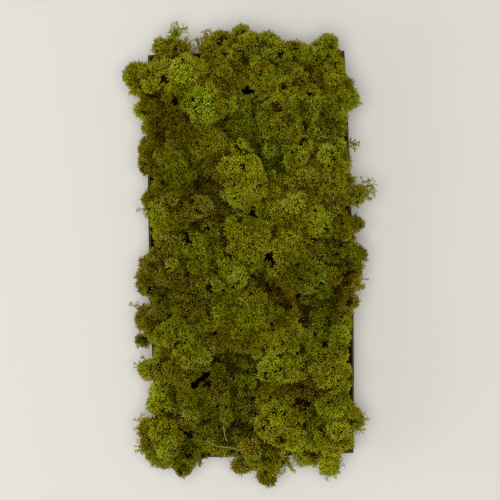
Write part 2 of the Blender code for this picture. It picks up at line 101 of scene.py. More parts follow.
traySettings = {
    "half": (82.5, 169.0),  # of the width and of the length
    "depth": 40.0,
    "bulge": (3.0, 1.0),  # how far the filling presses long and end walls out, halfway along the rim
    "board": 1.6,
    "step": 7.0,  # between points along a wall
    "rimWander": 0.3,  # the cut rim isn't quite level
    "foldRadius": 1.0,
    "foldShare": 0.3,
    "darkerBelow": 6.0,  # the inside is darker from this far under the rim
    "liner": 0.3,
    "flute": 3.4,
    "fluteDepth": 6.0,  # how far down the open edge shows its flutes
    "fluteSwing": 0.36,
    "fluteSteps": 6,  # points to a flute
    "fluteDrift": 0.04,  # the flutes aren't quite even
    "medium": 0.2,  # the wavy paper's thickness
    "mediumTop": 0.25,  # it ends this far under the rim
    "mediumFoot": 0.1,
    "mediumDarkened": 0.15,
    "cornerClear": 1.0,
    "linerColour": "#8f7d5a",
    "fibreColour": "#75643f",
    "innerDarkColour": "#4a3c22",
    "fibreSize": 1.1,  # real fibres are finer, these are as coarse as they need to show
    "blotchSize": 15.0,  # the paper is darker here and there from damp and handling
    "blotchShare": 0.7,
    "ribShadeShare": 0.5,
    "ribBump": 0.1,  # how far the ribs stand out of the liner,
    "bumpStrength": 0.15,  # and how much of that shows
    "roughness": 0.9,
    "specular": 0.15,
}

trayHalf = np.array(traySettings["half"])
trayBulge = np.array(traySettings["bulge"])
trayDepth = traySettings["depth"]
board = traySettings["board"]


def boardMaterial():
    # brown kraft paper glued over flutes: matt, speckled with fibres, faintly ribbed by the flutes behind it,
    # with painted shade along the ribs and darker down the inside
    s = traySettings
    made, tree, shader = newMaterial("kraftCorrugatedBoard", s["roughness"], s["specular"])
    place = addNode(tree, "ShaderNodeTexCoord", {}).outputs["Object"]
    run, inside = (addNode(tree, "ShaderNodeAttribute", {"attribute_name": name}).outputs["Fac"]
                   for name in ("run", "inside"))
    fibres, blotches = (addNode(tree, "ShaderNodeTexNoise", {
        "Vector": place, "Scale": 1 / (s[size] * mm), "Detail": detail, "Distortion": bent}).outputs["Fac"]
        for size, detail, bent in (("fibreSize", 2.0, 1.5), ("blotchSize", 3.0, 0.0)))
    turns = addNode(tree, "ShaderNodeMath", {
        "operation": "MULTIPLY", 0: run, 1: 2 * math.pi / s["flute"]}).outputs[0]
    wave = addNode(tree, "ShaderNodeMath", {"operation": "SINE", 0: turns}).outputs[0]
    base, blotchTone, ribPaintedShade = (
        addNode(tree, "ShaderNodeValToRGB", {"Fac": source, "stops": stops}).outputs["Color"]
        for source, stops in (
            (fibres, ((0.3, s["fibreColour"]), (0.6, s["linerColour"]))),
            (blotches, ((0.35, "#cdbfa4"), (0.65, "#ffffff"))),
            (wave, ((0.0, "#e2dccf"), (0.8, "#ffffff")))))
    # blotches, the painted shade of the ribs, and the darkening down the inside
    for factor, colour in ((s["blotchShare"], blotchTone), (s["ribShadeShare"], ribPaintedShade),
                           (inside, linear(s["innerDarkColour"]))):
        base = addNode(tree, "ShaderNodeMix", {
            "data_type": "RGBA", "blend_type": "MULTIPLY", 0: factor, 6: base, 7: colour}).outputs[2]
    bump = addNode(tree, "ShaderNodeBump", {
        "Height": wave, "Strength": s["bumpStrength"], "Distance": s["ribBump"] * mm})
    tree.links.new(base, shader.inputs["Base Color"])
    tree.links.new(bump.outputs["Normal"], shader.inputs["Normal"])
    return made


def wallPoints(side, run, out, height):
    # along one wall: side 0 is the right one, and the others follow anticlockwise
    flat = (-run, out) if side % 2 else (out, run)
    sign = 1 if side < 2 else -1
    return np.column_stack((sign * flat[0], sign * flat[1], np.full(len(run), height)))


def wallRing(inset, height):
    # a ring of points around the walls, from corner to corner of each
    half = trayHalf - inset
    ring = []
    for side in range(4):
        steps = round(2 * trayHalf[1 - side % 2] / traySettings["step"])
        run = 2 * np.arange(steps) / steps - 1
        bow = min(height / trayDepth, 1) * (1 - run ** 2)
        out = half[side % 2] + trayBulge[side % 2] * bow
        ring.append(wallPoints(side, half[1 - side % 2] * run, out, height))
    return np.concatenate(ring)


def skinned(rings):
    # points and faces of a closed tube through rings of points
    count = len(rings[0])
    k = np.arange(count)
    faces = []
    for level in range(len(rings) - 1):
        low, high = level * count + k, (level + 1) * count + k
        faces += zip(low, np.roll(low, -1), np.roll(high, -1), high)
    return np.concatenate(rings), [*faces, tuple(count * (len(rings) - 1) + k), tuple(k[::-1])]


def trayShell():
    # from the foot up the outside, down and up the slot of the flutes, and down the inside
    s = traySettings
    fold, slot, inner = s["foldRadius"], s["depth"] - s["fluteDepth"], s["board"] - s["liner"]
    profile = (
        # inset, height, how much darker
        (fold, 0.0, 0.0), (fold * s["foldShare"], fold * s["foldShare"], 0.0), (0.0, fold, 0.0),
        (0.0, s["depth"], 0.0), (s["liner"], s["depth"], 0.0), (s["liner"], slot, 0.4),
        (inner, slot, 0.4), (inner, s["depth"], 0.0), (s["board"], s["depth"], 0.1),
        (s["board"], s["depth"] - s["darkerBelow"], 0.9), (s["board"], s["board"], 1.0),
    )
    rings = [wallRing(inset, height) for inset, height, darkness in profile]
    wander = rng.normal(size=len(rings[0]))
    wander = (wander + np.roll(wander, 1) + np.roll(wander, -1)) / 3 * s["rimWander"]
    for ring in rings:
        ring[:, 2] += wander * (ring[:, 2] > s["depth"] - 1)
    rim = rings[3]
    steps = np.linalg.norm(np.diff(rim, axis=0, append=rim[:1]), axis=1)
    run = np.concatenate(((0,), np.cumsum(steps)[:-1]))
    darkened = np.repeat([darkness for inset, height, darkness in profile], len(rim))
    return *skinned(rings), np.tile(run, len(rings)), darkened


def flutedMedium(side):
    # the wavy paper between the liners of one wall, as a closed band
    s = traySettings
    half = trayHalf - s["board"] / 2
    length = 2 * (half[1 - side % 2] - s["cornerClear"])
    count = int(length / s["flute"] * s["fluteSteps"])
    t = np.linspace(-length / 2, length / 2, count + 1)
    phase = rng.uniform(0, 2 * math.pi) + np.cumsum(rng.normal(scale=s["fluteDrift"], size=count + 1))
    swing = s["fluteSwing"] * np.sin(2 * math.pi * t / s["flute"] + phase)
    middle = half[side % 2] + trayBulge[side % 2] * (1 - (t / trayHalf[1 - side % 2]) ** 2) + swing
    foot, top = s["depth"] - s["fluteDepth"] + s["mediumFoot"], s["depth"] - s["mediumTop"]
    rings = np.stack([wallPoints(side, t, middle + offset * s["medium"] / 2, height)
                      for offset, height in ((-1, top), (1, top), (1, foot), (-1, foot))], axis=1)
    # at a quarter of a flute the ribs' painted shade is nought
    marks = (np.full(4 * len(rings), value) for value in (s["flute"] / 4, s["mediumDarkened"]))
    return *skinned(rings), *marks


def beyondWalls(points):
    # how far points lie outside the bowed walls, or, where it is negative, inside them
    run = np.clip(points[..., :2] / trayHalf, -1, 1)
    rise = np.clip(points[..., 2:] / trayDepth, 0, 1)
    bow = trayBulge * rise * (1 - run[..., ::-1] ** 2)
    return (abs(points[..., :2]) - trayHalf - bow).max(axis=-1)


def pastWall(points):
    return beyondWalls(points) > 0


def inWall(points, margin):
    out = beyondWalls(points)
    return (out > -board - margin) & (out < margin) & (points[..., 2] < trayDepth + margin)


print("moss: finishes")

mossFinish = {
    "tones": {
        # colour at the root of a thread, half way up it and at its tip: paler tips, and roots darkened with
        # painted shade deep in the lobe
        "moss_bright": ("#655903", "#979901", "#e8e833"),
        "moss_olive": ("#5c5002", "#898901", "#d6d42f"),
        "moss_green": ("#5a5302", "#828702", "#d0d42a"),
        "moss_brown": ("#5c4e02", "#877e01", "#d4c72e"),
    },
    "patchSize": 36.0,  # dye takes unevenly over patches of this size
    "patchShare": 0.75,
    "sweepSize": 110.0,  # and longer stretches are a little paler or deeper than others
    # red, green and blue against ordinary moss, at the places that the plan marks
    # painted light on the crowns
    "fresh": (1.13, 1.25, 1.1, 1.0),
    "green": (0.79, 0.92, 0.8, 1.0),
    # painted shade, mostly at the deep gaps
    "dim": (0.66, 0.655, 0.54, 1.0),
    "rust": (1.3, 0.8, 0.7, 1.0),
    "strawColour": "#998650",
    "youngColour": "#e8e294",  # the youngest tips are bleached
    "roughness": 0.85,
    "specular": 0.02,
}

# what each thread carries: how far out along it, its own tone, its painted shade in hollows,
# painted light, greener dye, painted shade and rust at listed places, and whether it is straw
threadMarks = ("along", "shade", "shelter", "fresh", "green", "dim", "rust", "straw")


def mossMaterial(slot):
    # dried lichen soaked in glycerine and dye: matt threads, palest at the tips, with painted shade towards
    # the roots, in hollows and at some places, and painted light at others
    s = mossFinish
    name = "driedLichenThreads_" + slot.split("_")[1]
    made, tree, shader = newMaterial(name, s["roughness"], s["specular"])
    place = addNode(tree, "ShaderNodeTexCoord", {}).outputs["Object"]
    marks = {mark: addNode(tree, "ShaderNodeAttribute", {"attribute_name": mark}).outputs["Fac"]
             for mark in threadMarks}
    patches, sweeps = (addNode(tree, "ShaderNodeTexNoise", {
        "Vector": place, "Scale": 1 / (s[size] * mm), "Detail": detail, "Roughness": rough}).outputs["Fac"]
        for size, detail, rough in (("patchSize", 3.0, 0.6), ("sweepSize", 1.0, 0.5)))
    root, middle, tip = s["tones"][slot]
    base, patchTone, sweepTone, paintedShadeTone, threadTone, palest, outermost = (
        addNode(tree, "ShaderNodeValToRGB", {"Fac": source, "stops": stops}).outputs["Color"]
        for source, stops in (
            (marks["along"], ((0.0, root), (0.5, middle), (1.0, tip))),
            (patches, ((0.35, "#cab688"), (0.48, "#f2f0e0"), (0.68, "#e4fdd2"))),
            (sweeps, ((0.38, "#d2ccbe"), (0.62, "#ffffff"))),
            # painted shade: deepest in hollows below the heads around and lower down the heads
            (marks["shelter"], ((0.0, "#ffffff"), (0.45, "#b5ae98"), (1.0, "#352d17"))),
            (marks["shade"], ((0.0, "#968c7c"), (0.5, "#dcd8cc"), (1.0, "#fdfdfd"))),
            (marks["shade"], ((0.82, "#000000"), (1.0, "#bcbcbc"))),
            (marks["along"], ((0.75, "#000000"), (1.0, "#ffffff")))))
    young = addNode(tree, "ShaderNodeMath", {"operation": "MULTIPLY", 0: palest, 1: outermost}).outputs[0]
    for blend, factor, colour in (
            ("MULTIPLY", s["patchShare"], patchTone),
            ("MULTIPLY", 1.0, sweepTone),
            *(("MULTIPLY", marks[mark], s[mark]) for mark in ("fresh", "green", "dim", "rust")),
            ("MIX", marks["straw"], linear(s["strawColour"])),
            ("MULTIPLY", 1.0, paintedShadeTone),
            ("MULTIPLY", 1.0, threadTone),
            ("MIX", young, linear(s["youngColour"]))):
        base = addNode(tree, "ShaderNodeMix", {
            "data_type": "RGBA", "blend_type": blend, 0: factor, 6: base, 7: colour}).outputs[2]
    tree.links.new(base, shader.inputs["Base Color"])
    return made


mossMaterials = {slot: mossMaterial(slot) for slot in mossFinish["tones"]}

# The moss: every cushion opens into rounded heads, every head is a crowd of small lobes,
# and every lobe a ball of short forking threads

# each cushion's heads as (x, y, height of the crown, radius), from the back edge to the front,
# on a plan that lies turned and shifted against the tray
cushionHeads = (
    ((-74, 170, 62, 8.5), (-59, 168, 65, 8), (-65, 182, 60, 6), (-67, 162, 62, 8), (-67, 154, 68, 8)),
    ((-32, 172, 62, 8.5), (-26, 176, 63, 8), (-37, 163, 65, 7)),
    ((-9, 181, 60, 8), (-13, 171, 67, 8.5), (1, 173, 64, 9), (-5, 161, 69, 9), (14, 175, 61, 8),
     (24, 167, 65, 9.5), (12, 165, 63, 8)),
    ((37, 164, 67, 10.5), (47, 163, 66, 10), (30, 156, 63, 9), (43, 147, 67, 9), (55, 146, 66, 8)),
    ((61, 169, 65, 11.5), (65, 162, 64, 8), (57, 161, 68, 9), (66, 151, 70, 11)),
    ((-96, 147, 57, 10), (-87, 147, 62, 9.5), (-90, 137, 58, 8.5), (-81, 139, 67, 9), (-71, 144, 72, 8)),
    ((-55, 149, 76, 13), (-44, 152, 72, 9), (-58, 135, 77, 11)),
    ((-23, 149, 72, 10), (-34, 143, 67, 9), (-16, 141, 65, 8)),
    ((5, 152, 71, 10), (14, 140, 72, 10), (27, 133, 75, 12), (21, 121, 71, 9), (34, 120, 70, 8)),
    ((75, 140, 65, 8.5), (81, 130, 61, 8), (68, 138, 71, 10), (79, 124, 54, 7)),
    ((-88, 119, 57, 8.5), (-82, 122, 61, 9), (-76, 114, 60, 8), (-82, 105, 59, 8)),
    ((-36, 131, 76, 12), (-49, 123, 73, 10), (-23, 122, 74, 11), (-38, 114, 74, 10)),
    ((-13, 104, 66, 12), (-2, 112, 65, 10), (-22, 103, 66, 8), (-2, 98, 64, 9)),
    ((-64, 110, 65, 10), (-56, 99, 70, 10), (-69, 98, 60, 8)),
    ((-39, 102, 69, 10), (-30, 90, 72, 11), (-43, 87, 71, 10), (-49, 73, 65, 9), (-35, 72, 66, 9)),
    ((14, 108, 69, 11), (25, 102, 70, 10), (11, 95, 65, 8), (16, 84, 65, 11), (21, 73, 62, 8)),
    ((50, 122, 72, 10), (64, 127, 70, 9), (45, 105, 72, 11), (56, 99, 70, 10), (72, 107, 65, 9),
     (69, 96, 65, 8), (70, 117, 64, 7.5)),
    ((-83, 87, 61, 10.5), (-83, 73, 58, 10.5), (-77, 80, 64, 8), (-67, 76, 75, 11), (-69, 62, 78, 10),
     (-58, 63, 75, 8), (-63, 88, 68, 8)),
    ((-9, 84, 72, 10), (-19, 70, 76, 10), (-4, 68, 79, 12), (3, 54, 80, 11), (-12, 51, 78, 11)),
    ((43, 88, 74, 10), (37, 75, 73, 10), (47, 62, 74, 11), (34, 59, 69, 8)),
    ((62, 80, 74, 11), (72, 83, 67, 8), (75, 72, 64, 8), (60, 67, 69, 8)),
    ((69, 54, 75, 11), (79, 57, 67, 7), (89, 50, 56, 6.5), (87, 47, 55, 7.5), (74, 48, 65, 8)),
    ((-80, 46, 62, 9.5), (-79, 33, 62, 9), (-72, 22, 65, 8), (-67, 39, 75, 10), (-67, 26, 74, 10),
     (-56, 34, 72, 9)),
    ((-43, 39, 72, 11), (-33, 44, 64, 8), (-46, 50, 61, 8), (-23, 32, 64, 8)),
    ((19, 52, 70, 8), (12, 40, 68, 8), (23, 34, 73, 9), (35, 39, 77, 10), (47, 45, 74, 9), (29, 23, 73, 9),
     (40, 26, 75, 8)),
    ((53, 27, 79, 11), (61, 20, 73, 7), (50, 13, 71, 8), (75, 21, 65, 10), (88, 24, 56, 6.5),
     (79, 10, 61, 8), (67, 34, 68, 8)),
    ((-72, 10, 61, 8), (-67, 13, 67, 9), (-66, 0, 68, 9), (-77, -3, 61, 8), (-60, -13, 69, 8)),
    ((-43, 5, 75, 11), (-53, 12, 69, 8), (-42, -9, 72, 11), (-33, 20, 66, 10), (-25, 8, 63, 8)),
    ((-11, 22, 74, 10), (4, 15, 77, 10), (-3, 3, 77, 11), (-14, 8, 70, 8)),
    ((30, 12, 75, 12), (24, 0, 74, 10), (38, 1, 75, 9)),
    ((55, 2, 69, 9), (59, -10, 69, 8), (46, -1, 66, 8)),
    ((68, -1, 69, 10), (81, -3, 61, 10), (90, -1, 52, 6), (82, 9, 56, 7), (86, -14, 54, 7)),
    ((-82, -11, 58, 10.5), (-87, -24, 51, 8.5), (-84, -32, 55, 8.5), (-77, -25, 60, 8), (-69, -19, 70, 8),
     (-58, -26, 67, 8)),
    ((-35, -27, 72, 11), (-46, -34, 68, 8), (-52, -49, 75, 12), (-62, -40, 71, 8)),
    ((-17, -10, 76, 10), (-10, -20, 79, 8), (0, -9, 70, 9), (-24, -3, 69, 8)),
    ((6, -28, 61, 12), (18, -30, 60, 8), (30, -42, 62, 10), (21, -12, 74, 8), (30, -20, 77, 10)),
    ((48, -21, 72, 12), (59, -30, 68, 9)),
    ((67, -20, 68, 8), (81, -26, 59, 9), (81, -41, 57, 8), (78, -37, 60, 8), (74, -49, 62, 8)),
    ((-89, -53, 56, 8), (-79, -52, 61, 8), (-83, -63, 61, 9.5), (-90, -73, 52, 6.5), (-75, -74, 61, 8),
     (-71, -65, 72, 8)),
    ((-61, -68, 80, 13), (-50, -74, 76, 9), (-35, -68, 72, 10), (-43, -82, 76, 10), (-54, -88, 73, 9)),
    ((-26, -43, 71, 9), (-23, -55, 76, 10), (-17, -67, 77, 10), (2, -39, 76, 10), (-1, -54, 80, 12),
     (10, -61, 78, 8), (-3, -73, 80, 11)),
    ((28, -58, 74, 10), (29, -73, 77, 11), (34, -64, 73, 8)),
    ((59, -46, 63, 11), (55, -64, 63, 11), (71, -69, 68, 10), (77, -56, 61, 8), (68, -75, 66, 8)),
    ((-86, -98, 53, 8.5), (-79, -98, 59, 9), (-71, -86, 60, 8), (-64, -98, 71, 10), (-50, -98, 70, 9)),
    ((-18, -83, 62, 10), (-4, -88, 64, 10), (-25, -99, 66, 9), (-15, -103, 62, 8), (-5, -110, 67, 10)),
    ((21, -84, 74, 8), (16, -97, 76, 10), (28, -98, 77, 10), (42, -84, 67, 9), (40, -97, 70, 8)),
    ((66, -89, 76, 11), (65, -104, 78, 11), (55, -97, 72, 8), (72, -107, 60, 7)),
    ((-75, -115, 62, 8.5), (-79, -128, 58, 8.5), (-69, -127, 64, 8), (-69, -115, 62, 7)),
    ((-52, -122, 70, 10), (-51, -135, 68, 9), (-33, -116, 71, 11), (-21, -117, 66, 8)),
    ((14, -116, 71, 11), (25, -119, 67, 8), (35, -111, 60, 8), (45, -125, 63, 10), (50, -113, 63, 8)),
    ((64, -127, 73, 11), (73, -127, 70, 10), (82, -137, 62, 8), (88, -140, 50, 7)),
    ((-24, -136, 66, 9), (-9, -132, 60, 10), (-11, -149, 61, 9), (-23, -149, 60, 8), (-28, -161, 58, 8),
     (-17, -163, 58, 7)),
    ((21, -132, 77, 11), (32, -139, 75, 10), (12, -144, 72, 9), (23, -151, 75, 10), (35, -154, 72, 9)),
    ((-84, -148, 58, 9.5), (-72, -147, 70, 11), (-69, -161, 70, 10), (-83, -160, 55, 9.5),
     (-79, -171, 51, 8), (-68, -174, 52, 7)),
    ((-37, -153, 63, 10), (-48, -153, 61, 9), (-53, -166, 59, 10), (-57, -181, 46, 7), (-43, -173, 52, 7)),
    ((1, -161, 69, 10), (-8, -177, 53, 8), (14, -173, 60, 9), (13, -187, 50, 8), (25, -173, 51, 7),
     (3, -170, 58, 8)),
    ((50, -142, 64, 10), (45, -156, 65, 8), (55, -154, 67, 9), (42, -169, 58, 8), (54, -171, 52, 7)),
    ((72, -146, 68, 10), (73, -158, 60, 8), (66, -161, 65, 8), (64, -168, 61, 8), (65, -178, 51, 9)),
)

# places on the plan, as (x, y, reach), where the moss differs: painted light, mostly on the highest crowns,
# greener dye, rusty ends, and painted shade, mostly around the deep gaps
markedPlaces = {
    "fresh": (
        (-59, 141, 15), (-35, 127, 11), (-62, 67, 17), (-72, 28, 20), (-50, 33, 13), (-3, 62, 13),
        (56, 27, 15), (80, 53, 15), (-94, 148, 18), (-85, 112, 13), (-30, -52, 11), (-3, -56, 18),
        (-58, -68, 17), (-11, -17, 15), (30, -65, 12), (34, -24, 13), (66, -103, 12), (80, -69, 10),
        (-76, -124, 12), (-73, -163, 10), (-48, -130, 12), (24, -137, 14), (72, -134, 14),
    ),
    "green": ((23, 80, 20), (-44, 125, 13), (82, 130, 13), (1, -99, 18)),
    "rust": ((11, 153, 7), (-80, 101, 7), (-1, -162, 7)),
    "dim": (
        (-65, 122, 10), (1, 130, 17), (-24, 106, 13), (-40, 56, 11), (3, 33, 17), (11, -8, 12),
        (42, -13, 15), (41, -39, 13), (71, -39, 18), (80, -14, 13), (63, -78, 21), (12, 55, 9),
        (-36, -104, 18), (1, -118, 20), (59, -89, 17), (76, -118, 15), (24, -118, 12), (30, -48, 10),
        (38, 140, 12), (5, 117, 15), (46, 118, 13), (26, -101, 13), (49, -75, 17), (79, -103, 11),
        (17, -132, 14), (-32, -134, 10), (44, -112, 20), (-49, -149, 18), (-7, -143, 14), (-73, -43, 12),
        (62, 100, 14), (30, 150, 12), (1, 84, 10), (19, 76, 9), (36, -73, 16), (40, -132, 15),
        (20, -58, 10), (-64, -164, 9),
    ),
}

# deep gaps, as (x, y, reach) on the plan, where no lobe grows
gaps = (
    (-62, 125, 5), (-71, 141, 3), (-40, 134, 1.5), (-3, 134, 3.5), (51, 130, 3.5), (14, 128, 3.5),
    (30, 148, 3), (2, 31, 5), (-8, 34, 3), (-52, 9, 3), (17, -5, 4.5), (43, -9, 4.5), (66, 68, 2.5),
    (80, 34, 3.5), (-66, -51, 3.5), (-16, -30, 2.5), (-63, -75, 2.5), (40, -34, 4), (18, -57, 3),
    (18, -64, 2.5), (51, -72, 4), (61, -77, 4), (81, -89, 2.5), (-52, -150, 5), (-27, -126, 4),
    (3, -121, 3.5), (40, -124, 4), (-46, -109, 5), (-38, -103, 6), (-91, -67, 3), (-89, -39, 3),
)

planTurn = math.radians(-1.3)
planShift = np.array((0.5, 1.3))
placeFade = 1.3  # how fast a marked place fades towards its edge


def unitRows(rows):
    return rows / np.maximum(np.linalg.norm(rows, axis=-1, keepdims=True), 1e-9)


def turnedBall(count):
    # ways spread evenly over a ball along a spiral, all turned together at random
    k = np.arange(count)
    up = 1 - 2 * (k + 0.5) / count
    turn = k * math.pi * (3 - math.sqrt(5))
    flat = np.sqrt(1 - up * up)
    ball = np.stack((flat * np.cos(turn), flat * np.sin(turn), up), axis=1)
    return ball @ np.linalg.qr(rng.normal(size=(3, 3)))[0]


def onPlan(places):
    # from the plan to the tray
    places = np.array(places, float)
    turn = np.array(((math.cos(planTurn), math.sin(planTurn)), (-math.sin(planTurn), math.cos(planTurn))))
    places[..., :2] = places[..., :2] @ turn + planShift
    return places


def fromSpots(points, spots):
    # how far off each spot every point is on the plan, and how far the spot reaches
    x, y, reach = onPlan(spots).T
    return np.hypot(points[:, :1] - x, points[:, 1:2] - y), reach


def nearPlaces(points, spots):
    # one near the middle of the nearest spot, nought past its reach
    distance, reach = fromSpots(points, spots)
    return np.clip(placeFade * (1 - distance / reach), 0, 1).max(axis=1)


print("moss: placing the lobes")

lobeSettings = {
    "headSwell": 1.04,  # heads bulge a little past the radius that shows from above
    "bridgeShare": 0.85,  # two heads nearer than this share of their radii have a third between them
    "bridgeSag": 1.0,
    "uneven": 0.28,  # heads are far from round, and twice as far on top as at their sides
    "unevenWaves": 2.4,  # how finely they swell and sink
    "radius": 4.6,
    "variation": 0.25,
    "spacing": 4.6,
    "triesApart": 2.4,  # how closely places for lobes are tried
    "rise": 0.4,  # how far a lobe stands proud of its head
    "pushed": 0.75,  # and how unevenly
    "pushedMost": (-2.0, 1.2),  # inwards and outwards, in that measure
    "wallShare": 0.8,  # of its radius that a lobe keeps off the walls
    "gapMargin": 2.5,  # lobes keep this much further off a gap's middle than the gap's own reach
    "hangLowest": 25.0,  # outside the tray lobes hang down to this height
    "hangSteepest": -0.85,  # how far round under its head a lobe may sit there
    "insideSteepest": -0.5,  # and inside the tray
    "buriedShare": 0.95,  # lobes deeper than this in another head are left out
}

bedSettings = {
    # low cushions fill the valleys between the heads, so that no floor shows
    "spacing": 6.5,
    "tries": 2.5,
    "edge": 7.0,  # how far they keep off the walls
    "drop": (5.0, 11.0),  # how far their crowns lie below the mean height around them
    "radius": (4.5, 7.0),
    "reach": 13,  # over how many cells of the map that mean is taken, each way
    "leastCover": 0.05,
}

mapCell = 1.0  # of the height map
mapHalf = np.array((125.0, 210.0))


def readHeads():
    # every head, and between two that touch in one cushion a third that bridges them
    s = lobeSettings
    rows = []
    for index, cushion in enumerate(cushionHeads):
        cushion = list(onPlan(cushion))
        rows += [(*head, index) for head in cushion]
        for i, first in enumerate(cushion):
            for second in cushion[i + 1:]:
                if np.linalg.norm((first - second)[:2]) < s["bridgeShare"] * (first[3] + second[3]):
                    rows.append((*((first + second) / 2 - (0, 0, s["bridgeSag"], 0)), index))
    table = np.array(rows)
    radii = table[:, 3] * s["headSwell"]
    return {
        "centres": np.stack((table[:, 0], table[:, 1], table[:, 2] - radii), axis=1),
        "radii": radii,
        "cushions": table[:, 4].astype(int),
        "dents": s["unevenWaves"] * rng.normal(size=(len(radii), 3, 3)),
        "phases": rng.uniform(0, 2 * math.pi, (len(radii), 3)),
    }


heads = readHeads()


def unevenReach(points, numbers=slice(None)):
    # from the middles of the heads to points: how far each lies, and how far the head reaches that way
    out = points[:, None] - heads["centres"][None, numbers]
    distance = np.linalg.norm(out, axis=2)
    way = out / np.maximum(distance, 0.1)[..., None]
    waves = np.einsum("pnk,njk->pnj", way, heads["dents"][numbers])
    swing = np.sin(waves + heads["phases"][None, numbers]).mean(axis=2)
    share = lobeSettings["uneven"] * (0.5 + 0.5 * np.clip(way[..., 2], 0, 1))
    return distance, heads["radii"][None, numbers] * (1 + share * swing)


def inGap(points):
    distance, reach = fromSpots(points, gaps)
    return np.any(distance < reach + lobeSettings["gapMargin"], axis=1)


def standApart(places, spacing):
    # of places tried in a random order, those that stand clear of all that were kept before
    kept = np.empty((len(places), 3))
    chosen = []
    for t in rng.permutation(len(places)):
        near = kept[:len(chosen)] - places[t]
        if not chosen or np.einsum("ij,ij->i", near, near).min() > spacing ** 2:
            kept[len(chosen)] = places[t]
            chosen.append(t)
    return np.array(chosen)


def headLobes():
    s = lobeSettings
    proud = s["rise"] - s["radius"]
    parts = []
    for number, (centre, radius) in enumerate(zip(heads["centres"], heads["radii"])):
        out = turnedBall(round(4 * math.pi * (radius - s["radius"]) ** 2 / s["triesApart"] ** 2))
        found = centre + out * (unevenReach(centre + out, slice(number, number + 1))[1] + proud)
        keep = ~inWall(found, s["radius"] * s["wallShare"]) & ~inGap(found)
        hanging = (found[:, 2] > s["hangLowest"]) & (out[:, 2] > s["hangSteepest"])
        upright = (found[:, 2] > trayDepth) & (out[:, 2] > s["insideSteepest"])
        keep &= np.where(pastWall(found), hanging, upright)
        distance, reach = unevenReach(found)
        keep &= np.all(distance > (reach + proud) * s["buriedShare"], axis=1)
        parts.append((found[keep], out[keep], np.full(keep.sum(), number)))
    places, ways, numbers = (np.concatenate(part) for part in zip(*parts))
    chosen = standApart(places, s["spacing"])
    radii = s["radius"] * (1 + s["variation"] * rng.uniform(-1, 1, len(chosen)))
    least, most = s["pushedMost"]
    pushed = s["pushed"] * np.clip(rng.normal(size=len(chosen)), least, most)
    places = places[chosen] + ways[chosen] * pushed[:, None]
    return places, radii, numbers[chosen], heads["cushions"][numbers[chosen]]


def heightMap(centres, radii):
    # how high the moss stands over a grid of spots
    heights = np.zeros((2 * mapHalf / mapCell).astype(int))
    for centre, radius in zip(centres, radii):
        first = np.floor((centre[:2] - radius + mapHalf) / mapCell).astype(int)
        last = np.ceil((centre[:2] + radius + mapHalf) / mapCell).astype(int)
        gx = (np.arange(first[0], last[0]) + 0.5) * mapCell - mapHalf[0] - centre[0]
        gy = (np.arange(first[1], last[1]) + 0.5) * mapCell - mapHalf[1] - centre[1]
        inside = radius ** 2 - gx[:, None] ** 2 - gy[None] ** 2
        top = np.where(inside > 0, centre[2] + np.sqrt(np.maximum(inside, 0)), 0)
        window = heights[first[0]:last[0], first[1]:last[1]]
        np.maximum(window, top, out=window)
    return heights


def blurred(grid, half):
    # mean over a square window, by running sums
    for axis in (0, 1):
        padded = np.concatenate((np.zeros_like(grid.take([0], axis)), grid.cumsum(axis)), axis)
        index = np.arange(grid.shape[axis])
        upper = np.minimum(index + half + 1, grid.shape[axis])
        lower = np.maximum(index - half, 0)
        span = (upper - lower).reshape((-1, 1) if axis == 0 else (1, -1))
        grid = (padded.take(upper, axis) - padded.take(lower, axis)) / span
    return grid


def lookUp(grid, points):
    index = np.clip(((points[..., :2] + mapHalf) / mapCell).astype(int), 0, np.array(grid.shape) - 1)
    return grid[index[..., 0], index[..., 1]]


def bedLobes(centres, radii):
    s = bedSettings
    step = s["spacing"] / s["tries"]
    across, along = (np.arange(s["edge"] - half, half - s["edge"] + 1, step) for half in trayHalf)
    grid = np.stack(np.meshgrid(across, along), axis=-1).reshape(-1, 2)
    grid += rng.uniform(-step / 2, step / 2, grid.shape)
    heights = heightMap(centres, radii)
    covered = blurred((heights > 0).astype(float), s["reach"])
    mean = lookUp(blurred(heights, s["reach"]) / np.maximum(covered, s["leastCover"]), grid)
    places = np.column_stack((grid, mean - rng.uniform(*s["drop"], len(grid))))
    showing = places[:, 2] + s["radius"][1] > lookUp(heights, grid)
    places = places[(places[:, 2] > trayDepth) & showing & ~inGap(places)]
    places = places[standApart(places, s["spacing"])]
    radii = rng.uniform(*s["radius"], len(places))
    nearest = np.linalg.norm(places[:, None] - heads["centres"][None], axis=2).argmin(axis=1)
    return places, radii, -np.ones(len(places), int), heads["cushions"][nearest]


headParts = headLobes()
bedParts = bedLobes(headParts[0], headParts[1])
lobes = {key: np.concatenate(pair) for key, *pair in zip(
    ("centres", "radii", "heads", "cushions"), headParts, bedParts)}  # a lobe of no head has head -1
print("moss:", len(headParts[1]), "lobes on heads,", len(bedParts[1]), "between them")

